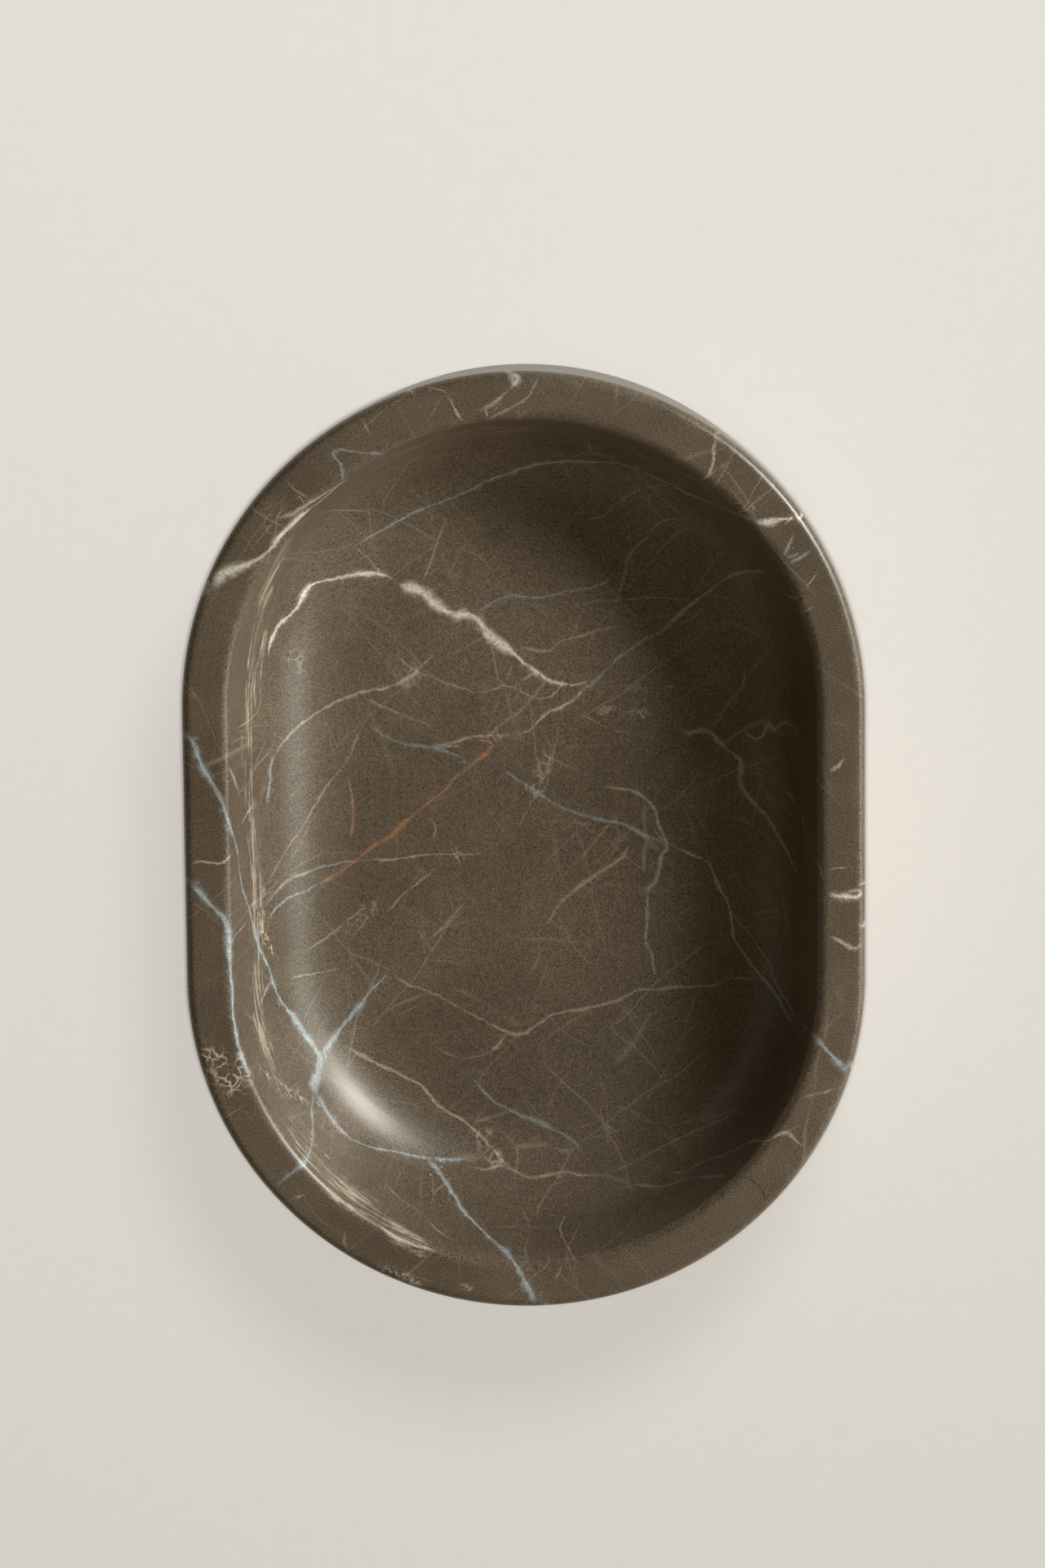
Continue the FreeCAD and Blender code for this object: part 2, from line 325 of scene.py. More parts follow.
# %% Fine veins of cream, rust and smoke
FINE_VEINS = {
    "diagonal, left end": (ICE, 0.65, [
        (326, 1128, 4), (337, 1114, 5), (353, 1100, 5), (372, 1092, 4), (391, 1082, 4)]),
    "diagonal, rust": (RUST, 0.85, [
        (385, 1085, 3), (404, 1075, 5), (420, 1065, 5), (436, 1054, 5), (449, 1043, 6), (465, 1031, 5),
        (481, 1022, 5), (493, 1008, 6), (509, 996, 5), (528, 980, 5), (544, 968, 5), (554, 955, 6),
        (567, 945, 5), (579, 936, 5), (592, 925, 5), (608, 909, 5), (621, 901, 5), (640, 897, 3)]),
    "diagonal, cream": (CREAM, 0.8, [
        (632, 898, 3), (646, 896, 5), (655, 888, 4), (670, 873, 5), (689, 865, 5), (705, 854, 5),
        (720, 838, 5)]),
    "diagonal, smoke": (ICE, 0.55, [
        (700, 857, 4), (720, 841, 6), (734, 829, 6), (753, 809, 5), (772, 795, 5), (791, 782, 5),
        (810, 773, 6), (830, 754, 6), (852, 736, 7), (871, 722, 6), (884, 712, 6), (900, 703, 5),
        (919, 700, 5), (941, 700, 3)]),
    "gold under the milk arch": (RUST, 0.4, [
        (340, 769, 10), (351, 760, 16), (362, 748, 14), (370, 731, 12), (381, 719, 8)]),
    "pink at the milk body's start": (PINK, 0.55, [
        (486, 715, 6), (494, 720, 16), (504, 727, 16), (514, 733, 6)]),
    "gold under the milk body": (RUST, 0.45, [
        (592, 770, 12), (606, 786, 16), (620, 794, 18), (632, 803, 12), (645, 812, 6)]),
    "thread under the far rim": (CREAM, 0.6, [
        (449, 578, 2), (477, 564, 5), (500, 553, 5), (516, 545, 4), (544, 535, 3), (579, 527, 3),
        (615, 524, 4), (656, 523, 4), (700, 528, 4), (740, 538, 4), (766, 546, 3), (785, 558, 4),
        (807, 567, 4), (830, 578, 4), (849, 586, 4), (858, 588, 3), (866, 583, 5), (872, 573, 5),
        (874, 558, 4), (874, 546, 4), (877, 536, 3)]),
    "strand beside the wedge": (MILK, 0.5, [
        (338, 634, 4), (352, 632, 6), (366, 624, 6), (385, 613, 5), (404, 600, 4), (420, 591, 3)]),
    "stem of the wedge": (ICE, 0.55, [
        (420, 589, 5), (418, 570, 4), (407, 556, 4), (411, 551, 4), (430, 552, 5), (455, 555, 5),
        (476, 556, 3)]),
    "twig by the rust": (CREAM, 0.45, [(350, 588, 4), (363, 601, 5), (379, 610, 4)]),
    "far rim bar": (CREAM, 0.6, [(520, 473, 3), (534, 476, 4), (543, 479, 4), (555, 478, 3)]),
    "far rim drop": (CREAM, 0.75, [(546, 481, 4), (554, 494, 5), (560, 507, 6), (566, 516, 7)]),
    "far rim twig": (CREAM, 0.5, [(626, 475, 3), (608, 491, 4), (595, 499, 5), (586, 503, 3)]),
    "far rim sweep": (CREAM, 0.4, [
        (660, 459, 4), (654, 475, 4), (643, 489, 4), (630, 497, 4), (611, 507, 4), (592, 516, 3)]),
    "grey through the middle": (ICE, 0.45, [
        (579, 751, 5), (594, 744, 5), (608, 735, 5), (627, 730, 5), (653, 732, 5), (678, 728, 5),
        (697, 724, 5), (719, 721, 5), (740, 714, 5), (751, 704, 4)]),
    "grey riser": (SMOKE, 0.5, [
        (753, 742, 3), (757, 727, 5), (764, 707, 6), (769, 685, 7), (779, 669, 6), (791, 660, 5),
        (806, 641, 4), (823, 635, 4), (842, 637, 3)]),
    "below the milk body": (CREAM, 0.45, [
        (632, 790, 3), (651, 795, 4), (670, 797, 4), (680, 790, 4), (689, 784, 5), (715, 778, 4),
        (728, 773, 4), (743, 770, 4), (763, 766, 3)]),
    "left to the middle": (CREAM, 0.6, [
        (337, 924, 4), (350, 905, 5), (366, 889, 5), (385, 875, 5), (407, 862, 5), (430, 852, 5),
        (449, 846, 6), (465, 844, 5), (484, 838, 7), (503, 829, 8), (511, 821, 6), (532, 801, 4)]),
    "ice on the left wall": (ICE, 0.6, [
        (337, 920, 4), (331, 941, 7), (331, 957, 6), (328, 976, 6), (328, 990, 3)]),
    "ink thread, pale": (ICE, 0.45, [
        (449, 886, 4), (471, 901, 4), (493, 910, 5), (522, 914, 5), (548, 921, 4), (572, 931, 3)]),
    "ink thread, branch": (CREAM, 0.5, [
        (519, 914, 3), (548, 911, 4), (576, 903, 4), (599, 901, 4), (621, 899, 3)]),
    "teal run to the fork": (ICE, 0.5, [
        (615, 941, 3), (632, 953, 3), (654, 966, 4), (670, 979, 4), (686, 988, 4), (705, 995, 6),
        (724, 1001, 6), (743, 1005, 6), (763, 1009, 6), (779, 1017, 7), (791, 1023, 6), (804, 1027, 5),
        (818, 1035, 4)]),
    "teal run from the fork": (ICE, 0.85, [
        (826, 1037, 4), (846, 1046, 6), (866, 1054, 6), (871, 1062, 6), (877, 1078, 7), (884, 1092, 7),
        (890, 1103, 7), (895, 1118, 5), (896, 1132, 5), (900, 1151, 5), (912, 1169, 6), (922, 1183, 6),
        (933, 1197, 6), (943, 1208, 5), (954, 1224, 5), (964, 1244, 4), (971, 1256, 3)]),
    "pink hook": (CREAM, 0.5, [
        (737, 964, 4), (753, 965, 5), (772, 967, 5), (785, 974, 5), (795, 982, 5), (802, 992, 6),
        (806, 1008, 5), (812, 1022, 5), (818, 1035, 6), (810, 1049, 6), (807, 1068, 6), (804, 1079, 7),
        (793, 1089, 9), (793, 1100, 5), (793, 1129, 4), (791, 1154, 5), (798, 1167, 4), (801, 1186, 4),
        (804, 1200, 3)]),
    "grey slant": (CREAM, 0.45, [
        (769, 1033, 3), (766, 1046, 5), (756, 1055, 5), (740, 1065, 5), (728, 1073, 5), (712, 1084, 5),
        (696, 1097, 5), (683, 1110, 4), (673, 1126, 4), (667, 1136, 3)]),
    "cross of the lower bowl": (CREAM, 0.5, [
        (600, 1253, 3), (622, 1264, 5), (641, 1266, 5), (657, 1256, 5), (677, 1242, 6), (705, 1237, 5),
        (734, 1231, 5), (759, 1224, 5), (782, 1212, 5), (804, 1212, 4), (830, 1208, 5), (855, 1208, 4),
        (877, 1206, 4), (897, 1197, 4), (916, 1198, 4), (933, 1200, 3)]),
    "cream to the near end": (CREAM, 0.65, [
        (420, 1279, 3), (442, 1292, 5), (465, 1304, 6), (484, 1312, 5), (503, 1322, 5), (516, 1328, 5),
        (522, 1336, 4), (535, 1352, 5), (548, 1362, 5), (560, 1367, 5), (576, 1379, 5), (592, 1394, 6),
        (611, 1416, 5), (627, 1432, 4)]),
    "braid along the near wall": (CREAM, 0.55, [
        (573, 1428, 3), (595, 1432, 4), (613, 1427, 4), (627, 1432, 6), (643, 1440, 6), (656, 1443, 6),
        (672, 1438, 7), (694, 1435, 6), (710, 1439, 5), (728, 1440, 3)]),
    "ice dots": (ICE, 0.5, [
        (579, 1320, 3), (602, 1346, 4), (624, 1359, 4), (643, 1368, 6), (659, 1373, 6), (675, 1382, 6),
        (691, 1390, 6), (705, 1400, 6), (713, 1415, 5)]),
    "smoke down the right": (SMOKE, 0.8, [
        (831, 889, 5), (842, 897, 7), (865, 894, 6), (877, 904, 6), (890, 918, 6), (903, 926, 7),
        (908, 937, 8), (906, 957, 8), (914, 972, 6), (925, 985, 6), (938, 998, 6), (948, 1014, 6),
        (957, 1030, 6), (967, 1049, 5), (978, 1074, 3)]),
    "smoke knot": (SMOKE, 0.75, [
        (912, 888, 5), (916, 899, 6), (925, 905, 8), (935, 899, 7), (941, 886, 6), (948, 894, 5),
        (954, 889, 6), (960, 884, 5), (973, 892, 3)]),
    "ice smear": (ICE, 0.28, [
        (798, 1237, 4), (785, 1263, 9), (772, 1282, 11), (759, 1295, 8), (756, 1308, 3)]),
    "near wall, ice": (ICE, 0.55, [
        (757, 1456, 3), (779, 1451, 5), (804, 1453, 5), (820, 1451, 5), (842, 1443, 6), (865, 1441, 5),
        (893, 1440, 3)]),
    "near wall, cream": (CREAM, 0.6, [
        (820, 1437, 3), (842, 1432, 4), (865, 1421, 4), (887, 1414, 4), (906, 1405, 4), (922, 1397, 5),
        (938, 1397, 5), (952, 1390, 5), (964, 1387, 5), (979, 1400, 4), (988, 1404, 3)]),
    "right rim V": (CREAM, 0.7, [
        (1015, 1146, 3), (1030, 1153, 4), (1040, 1159, 5), (1048, 1162, 6), (1056, 1153, 4)]),
    "right rim tick": (CREAM, 0.65, [(1015, 945, 4), (1026, 939, 5), (1034, 927, 4)]),
    "right rim bar": (ICE, 0.5, [(965, 691, 4), (980, 683, 5), (998, 671, 4)]),
    "right rim slash": (CREAM, 0.4, [(985, 724, 4), (994, 711, 4), (1003, 697, 3)]),
    "right rim fleck": (CREAM, 0.5, [(960, 682, 4), (966, 668, 5), (972, 652, 4)]),
    "spur on the left wall": (CREAM, 0.7, [(332, 1201, 4), (325, 1214, 6), (318, 1233, 4)]),
    "left wall, upper streak": (CREAM, 0.6, [(279, 938, 3), (286, 952, 6), (293, 971, 3)]),
    "left wall, bright dash": (CREAM, 0.85, [(295, 1009, 3), (302, 998, 6), (311, 983, 4)]),
    "left wall, long streak": (CREAM, 0.5, [
        (302, 1018, 4), (306, 1045, 7), (310, 1075, 5), (314, 1106, 5)]),
    "thread over the left rim": (CREAM, 0.7, [
        (233, 1059, 4), (245, 1055, 4), (261, 1057, 4), (275, 1055, 4), (286, 1042, 3)]),
}
print(len(FINE_VEINS), "fine veins")

# %% [markdown]
# ## Hairlines and cracks
#
# Hairlines are healed cracks, seldom wider than a third of a millimetre. A few stayed open and took in
# dirt, and those are dark. They share one width, so a route here is only points.

# %% Hairlines
HAIR_WIDTH = 3.0
HAIRLINES = {
    "loop of the milk body": (CREAM, 0.55, [
        (638, 835), (637, 845), (654, 854), (673, 854), (684, 845), (687, 837)]),
    "loop, upper side": (CREAM, 0.5, [(638, 835), (648, 827), (661, 825)]),
    "loop, tail": (CREAM, 0.45, [(583, 848), (600, 846), (616, 840), (629, 841), (638, 849)]),
    "milk body to the loop": (CREAM, 0.5, [(600, 784), (606, 813), (613, 835), (619, 842)]),
    "upper chord": (SMOKE, 0.6, [(446, 854), (487, 873), (535, 892)]),
    "upper weave": (SMOKE, 0.7, [(484, 800), (506, 819), (551, 838), (583, 848)]),
    "thread to the milk body": (CREAM, 0.5, [(550, 629), (538, 656), (525, 695), (516, 714)]),
    "crack into the milk body": (CREAM, 0.4, [(434, 669), (452, 685), (465, 699), (487, 714)]),
    "grey arc of the left": (SMOKE, 0.85, [
        (323, 1112), (337, 1094), (353, 1078), (379, 1067), (404, 1059), (442, 1054), (487, 1052),
        (519, 1047), (567, 1046), (600, 1047)]),
    "left descent": (SMOKE, 0.6, [
        (446, 882), (436, 906), (423, 934), (398, 966), (372, 1010), (345, 1050), (328, 1082)]),
    "pink sliver": (PINK, 0.8, [(426, 947), (431, 976), (433, 1008), (426, 1032)]),
    "tick": (CREAM, 0.75, [(558, 1034), (561, 1048), (564, 1064)]),
    "elbow": (CREAM, 0.5, [(522, 1000), (533, 1011), (532, 1030)]),
    "slant low left": (SMOKE, 0.7, [(375, 1164), (404, 1145), (430, 1124), (461, 1100)]),
    "slant low left, second": (SMOKE, 0.7, [(426, 1154), (443, 1133), (455, 1116), (463, 1098)]),
    "slant middle": (SMOKE, 0.7, [(471, 1119), (487, 1103), (503, 1087), (541, 1059)]),
    "slant middle, second": (SMOKE, 0.6, [(522, 1154), (540, 1138), (551, 1126), (576, 1097)]),
    "level low left": (SMOKE, 0.7, [(355, 1198), (379, 1193), (417, 1186)]),
    "pink below the left": (PINK, 0.6, [(424, 1166), (445, 1172), (461, 1180), (478, 1188), (482, 1193)]),
    "long faint fall": (SMOKE, 0.7, [(482, 1193), (500, 1206), (535, 1218), (576, 1241), (621, 1265)]),
    "lower chain": (SMOKE, 0.6, [(535, 1282), (554, 1293), (579, 1295), (600, 1288), (618, 1279)]),
    "tail of the cross": (CREAM, 0.5, [(622, 1264), (610, 1279), (597, 1290)]),
    "left wall to the rim": (CREAM, 0.55, [(320, 857), (312, 876), (290, 893)]),
    "far floor arc": (SMOKE, 0.6, [
        (718, 637), (740, 632), (750, 621), (766, 609), (785, 599), (807, 593), (820, 594)]),
    "far floor chord": (SMOKE, 0.55, [
        (705, 744), (728, 736), (753, 735), (779, 733), (804, 732), (846, 735)]),
    "smoke twin": (SMOKE, 0.6, [(830, 765), (846, 758), (865, 741)]),
    "smoke rising": (SMOKE, 0.4, [(846, 731), (858, 714), (877, 682)]),
    "smoke to the rim": (SMOKE, 0.65, [(938, 707), (954, 723), (976, 733), (984, 727)]),
    "middle thread": (CREAM, 0.4, [(712, 875), (728, 883), (747, 892), (772, 899)]),
    "right rise": (SMOKE, 0.45, [(906, 848), (911, 832), (914, 815)]),
    "right rim rust": (RUST, 0.7, [(1018, 884), (1038, 887)]),
    "right rim low": (CREAM, 0.5, [(1015, 1064), (1040, 1062)]),
    "right rim near": (CREAM, 0.5, [(983, 1343), (1002, 1339), (1028, 1333)]),
    "right wall run": (SMOKE, 0.85, [
        (960, 963), (967, 972), (979, 992), (986, 1014), (994, 1039), (1005, 1065), (1010, 1078)]),
    "right wall fall": (SMOKE, 0.7, [(957, 1084), (960, 1110), (964, 1132), (957, 1151), (952, 1173)]),
    "teal fork": (ICE, 0.75, [
        (895, 1118), (906, 1129), (919, 1145), (932, 1164), (941, 1177), (946, 1192), (954, 1212),
        (967, 1231), (976, 1247), (995, 1267)]),
    "fork bridge": (SMOKE, 0.6, [(933, 1194), (943, 1181)]),
    "scratch pair": (CREAM, 0.4, [(675, 917), (672, 941), (661, 963), (641, 1001), (635, 1014)]),
    "below the slant": (CREAM, 0.4, [(657, 1151), (662, 1164), (657, 1177), (653, 1189)]),
    "near floor smoke": (SMOKE, 0.6, [(737, 1346), (736, 1359), (740, 1375), (759, 1387)]),
    "near wall rise": (SMOKE, 0.6, [
        (750, 1435), (775, 1424), (804, 1408), (836, 1392), (865, 1379), (890, 1368), (912, 1349)]),
    "near end fork": (CREAM, 0.55, [(694, 1486), (686, 1505), (696, 1528), (706, 1548)]),
    "near end level": (SMOKE, 0.45, [(600, 1502), (638, 1502), (683, 1504)]),
    "near end strand": (SMOKE, 0.5, [(689, 1547), (680, 1570)]),
    "ice fork side": (ICE, 0.4, [(712, 1398), (728, 1392), (745, 1390)]),
    "near left scatter": (CREAM, 0.45, [(474, 1450), (490, 1468), (505, 1478), (520, 1490)]),
    "near left scatter, second": (CREAM, 0.4, [(520, 1490), (538, 1508), (560, 1522)]),
    "near rim left": (CREAM, 0.45, [(424, 1506), (421, 1520), (425, 1530)]),
    "far rim faint": (CREAM, 0.4, [(543, 483), (533, 499), (522, 518)]),
    "far rim stalk": (CREAM, 0.5, [(595, 499), (597, 512)]),
    "far left rim tick": (CREAM, 0.4, [(444, 513), (449, 524), (455, 536)]),
    "crack on the left": (INK, 0.55, [(477, 793), (463, 820), (461, 842)]),
    "crack in the middle": (INK, 0.5, [(442, 1078), (446, 1097), (455, 1119)]),
    "crack by the rust": (INK, 0.4, [(487, 957), (490, 988), (489, 1004)]),
    "ink thread": (INK, 0.65, [(497, 907), (522, 910), (552, 919), (570, 930)]),
    "ink beside the teal run": (INK, 0.5, [(692, 994), (724, 1005), (750, 1010), (772, 1017)]),
    "ink at the near right": (INK, 0.85, [(893, 1440), (914, 1442), (928, 1451), (936, 1464), (942, 1473)]),
    "ink in the near vein": (INK, 0.6, [(549, 1456), (562, 1476), (573, 1492), (590, 1509)]),
}
print(len(HAIRLINES), "hairlines")

# %% [markdown]
# ## Crazed patches
#
# In places the stone broke into crumbs before it healed, which leaves a lacy patch. A patch is a route
# too, with a large width: it only says where the lace shows, and the shader draws the lace.

# %% Crazed patches
PATCHES = {
    "lace on the left rim": (CREAM, 0.8, [
        (240, 1282, 20), (262, 1296, 44), (282, 1318, 56), (284, 1346, 34)]),
    "lace below the mouth": (CREAM, 0.6, [
        (316, 1306, 20), (335, 1324, 34), (360, 1340, 28), (380, 1350, 12)]),
    "cream triangle": (CREAM, 0.85, [(308, 1094, 5), (317, 1128, 17), (329, 1158, 16), (336, 1176, 6)]),
    "rust on the left rim": (RUST, 0.75, [(330, 608, 8), (331, 624, 16), (336, 642, 12)]),
    "pink on the left rim": (PINK, 0.5, [(322, 636, 10), (334, 656, 12)]),
    "cream on the near rim": (CREAM, 0.85, [
        (460, 1550, 8), (487, 1556, 14), (506, 1567, 14), (518, 1576, 8)]),
    "cream above the near rim": (CREAM, 0.5, [(497, 1521, 8), (512, 1528, 14), (528, 1536, 8)]),
    "cream low on the near rim": (CREAM, 0.5, [(562, 1574, 12), (588, 1579, 12)]),
    "pink on the right rim": (PINK, 0.7, [(930, 1401, 10), (950, 1398, 10)]),
    "rust on the right rim": (RUST, 0.7, [(942, 1410, 8), (938, 1422, 12), (936, 1438, 6)]),
    "bruise on the left sweep": (PINK, 0.55, [
        (392, 1366, 16), (408, 1374, 24), (432, 1384, 18), (446, 1390, 6)]),
    "lace on the near floor": (CREAM, 0.5, [
        (582, 1374, 16), (598, 1396, 30), (610, 1420, 26), (622, 1432, 12)]),
    "ice on the right rim": (ICE, 0.55, [(910, 617, 8), (922, 620, 12), (935, 624, 6)]),
    "smoke in the middle": (SMOKE, 0.7, [(728, 874, 10), (742, 869, 16), (755, 865, 8)]),
    "smoke in the middle, second": (SMOKE, 0.7, [(764, 843, 8), (780, 841, 14), (794, 846, 8)]),
    "fleck in the middle": (CREAM, 0.5, [(812, 842, 6), (820, 841, 12), (828, 840, 6)]),
    "ice crumbs": (ICE, 0.5, [(764, 872, 8), (786, 873, 12), (804, 870, 6)]),
    "scratched crumbs": (CREAM, 0.35, [(672, 915, 12), (668, 940, 26), (656, 964, 30), (664, 984, 16)]),
    "near left rim fleck": (CREAM, 0.6, [(362, 1462, 10), (372, 1470, 14)]),
    "upper left crumbs": (SMOKE, 0.4, [(345, 800, 20), (362, 812, 30), (375, 830, 20)]),
    "upper middle crumbs": (SMOKE, 0.35, [(480, 836, 24), (505, 826, 34), (530, 808, 20)]),
}
print(len(PATCHES), "patches")

# %% [markdown]
# ## Bands of fibres
#
# Along the left wall some veins lie nearly in the surface, so the cut shows them as long pale fibres.
# Tracing each one would be endless: a wide route marks the band, and the shader combs the fibres into it.
# The band round the near left wall is partly such fibres and partly a painted highlight along the mouth edge.

# %% Bands of fibres
FIBRES = {
    "left wall": (FIBRE_AND_HIGHLIGHT, 0.75, [
        (352, 660, 24), (322, 740, 46), (310, 830, 54), (304, 930, 48), (309, 1010, 40), (314, 1080, 40),
        (316, 1180, 46), (320, 1260, 50), (336, 1330, 46)]),
    # Partly real fibres, partly a painted highlight along the near left mouth edge.
    "near left wall, fibres and painted highlight": (FIBRE_AND_HIGHLIGHT, 0.75, [
        (350, 1360, 40), (385, 1415, 56), (430, 1462, 58), (490, 1505, 46), (535, 1530, 20)]),
}
print(len(FIBRES), "bands of fibres")

# %% [markdown]
# ## Veins on the outer wall
#
# A vein is a sheet through the whole block, so one that crosses the rim goes on down the outside. The
# photograph doesn't show that side: these start where a vein reaches the rim, and their slant is a guess.
# A point here is (bearing round the dish in degrees from +X, height in millimetres, width in pixels).

# %% Veins on the outer wall
WALL_VEINS = {
    "ice left": (ICE, 0.85, [
        (161, 30, 8), (162, 26, 8), (165, 20, 6), (166, 13, 9), (170, 7, 7), (171, 2, 6)]),
    "ice left rim": (ICE, 0.8, [(186, 30, 6), (184, 26, 6), (180, 19, 7), (174, 12, 8), (170, 8, 5)]),
    "milk wedge": (MILK, 0.8, [
        (140, 30, 15), (142, 27, 12), (146, 22, 8), (147, 15, 6), (152, 8, 9), (153, 2, 5)]),
    "far hook": (MILK, 0.6, [(91, 30, 6), (93, 25, 5), (98, 20, 4), (99, 14, 6), (104, 8, 4), (106, 2, 4)]),
    "far bar": (CREAM, 0.6, [(103, 30, 5), (106, 24, 5), (112, 19, 4), (114, 11, 5), (118, 2, 4)]),
    "ice arc": (MILK, 0.8, [(50, 30, 8), (50, 26, 7), (47, 21, 6), (46, 15, 8), (42, 9, 6), (41, 2, 5)]),
    "thread": (CREAM, 0.5, [(65, 30, 4), (63, 24, 4), (64, 16, 4), (60, 9, 4), (59, 2, 4)]),
    "right bar": (MILK, 0.7, [(-7, 30, 5), (-6, 26, 6), (-3, 20, 5), (-2, 13, 5), (2, 7, 5), (3, 2, 4)]),
    "right V": (CREAM, 0.65, [(-14, 30, 5), (-12, 25, 5), (-13, 18, 4), (-10, 10, 5), (-9, 2, 4)]),
    "near right ice": (ICE, 0.75, [
        (-35, 30, 9), (-34, 25, 8), (-38, 19, 6), (-40, 12, 8), (-45, 6, 6), (-46, 2, 5)]),
    "near right ink": (INK, 0.8, [(-55.5, 30, 4), (-55, 25, 4), (-57, 18, 3), (-56, 12, 3)]),
    "near vein": (ICE, 0.8, [
        (-88, 30, 10), (-87, 25, 10), (-84, 19, 8), (-84, 13, 10), (-80, 7, 8), (-79, 2, 6)]),
    "near left ice": (ICE, 0.6, [(-126, 30, 5), (-127, 24, 5), (-131, 18, 6), (-133, 11, 5), (-138, 4, 5)]),
    "far diagonal": (RUST, 0.7, [(22, 26, 3), (26, 21, 5), (31, 17, 5), (37, 13, 4), (42, 9, 3)]),
    "near diagonal": (RUST, 0.6, [(-112, 24, 3), (-108, 20, 5), (-103, 15, 5), (-97, 12, 4), (-90, 9, 3)]),
    "left cross": (CREAM, 0.5, [
        (150, 12, 3), (158, 14, 4), (166, 13, 5), (175, 11, 4), (186, 12, 4), (196, 9, 3)]),
    "right cross": (CREAM, 0.5, [
        (-30, 15, 3), (-20, 17, 4), (-10, 16, 4), (2, 14, 5), (14, 17, 4), (24, 15, 3)]),
    "far cross": (SMOKE, 0.6, [(70, 12, 4), (82, 15, 5), (93, 16, 5), (106, 13, 5), (120, 15, 4)]),
}
print(len(WALL_VEINS), "veins on the outer wall")

# %% [markdown]
# ## Laying the routes on the stone
#
# A pixel is a line of sight: following it from the camera to the first thing it meets gives the place on
# the stone. Painting the veins on an image would do the same, but only from one side and at one fineness.

# %% Lay routes on the stone
ROUTE_STEP = 5.0        # pixels between the points of a laid route
OUTSIDE = 0.2           # metres from the middle, well clear of the wall
shell = bmesh.new()
shell.from_mesh(dish.data)
tree = BVHTree.FromBMesh(shell)
shell.free()


def smooth_route(points):
    """Points along a Catmull-Rom curve: each stretch is a cubic, its end slopes half the neighbours' gap."""
    knots = np.array(points, float)
    knots = np.vstack([2 * knots[0] - knots[1], knots, 2 * knots[-1] - knots[-2]])
    curve = []
    for a, b, c, d in zip(knots[:-3], knots[1:-2], knots[2:-1], knots[3:]):
        steps = max(2, math.ceil(np.linalg.norm((c - b)[:2]) / ROUTE_STEP))
        t = np.linspace(0, 1, steps, endpoint=False)[:, None]
        curve.append(b + t / 2 * (c - a + t * (2 * a - 5 * b + 4 * c - d + t * (3 * (b - c) + d - a))))
    return np.vstack([*curve, knots[-2:-1]])


def seen_at(across, down):
    """The point of the stone that the photograph shows at a pixel, or None beside the stone."""
    sight = right * (across - FRAME_WIDTH / 2) - up * (down - FRAME_HEIGHT / 2) - back * focal_pixels
    return tree.ray_cast(eye, sight.normalized())[0]


def wall_at(bearing, height):
    """The point of the outer wall at a bearing and a height."""
    outward = Vector((math.cos(math.radians(bearing)), math.sin(math.radians(bearing)), 0))
    return tree.ray_cast(outward * OUTSIDE + Vector((0, 0, height * MM)), -outward)[0]


def lay(points, place, spread):
    """Route on the stone and its half width; spread turns the first two coordinates into pixels."""
    scaled = np.array(points, float) * (*spread, 1)
    laid = [(place(a / spread[0], b / spread[1]), width / 2 / PIXELS_PER_MM * MM)
            for a, b, width in smooth_route(scaled)]
    laid = [(spot, half) for spot, half in laid if spot is not None]
    return np.array([spot for spot, half in laid]), np.array([half for spot, half in laid])


print("the dish's own pixel meets the stone at, mm:", [round(x / MM, 1) for x in seen_at(*DISH_PIXEL)])

# %% [markdown]
# ## Distances to the veins
#
# Each surface point learns how far it is from the nearest route, and on which side. A distance changes
# slowly across the mesh, so a thin line drawn from it stays sharp between the mesh points, where a
# painted colour would blur. Every group of veins is a layer with two attributes: its course and its tint.

# %% Measure every surface point against the routes
BAND = 3.0 * MM         # how far from its edge a vein is still measured
FADE = 1.5 * MM         # length over which a vein's end fades
FAR_AWAY = 9.0          # millimetres, for points outside every band
TINY = 1e-9


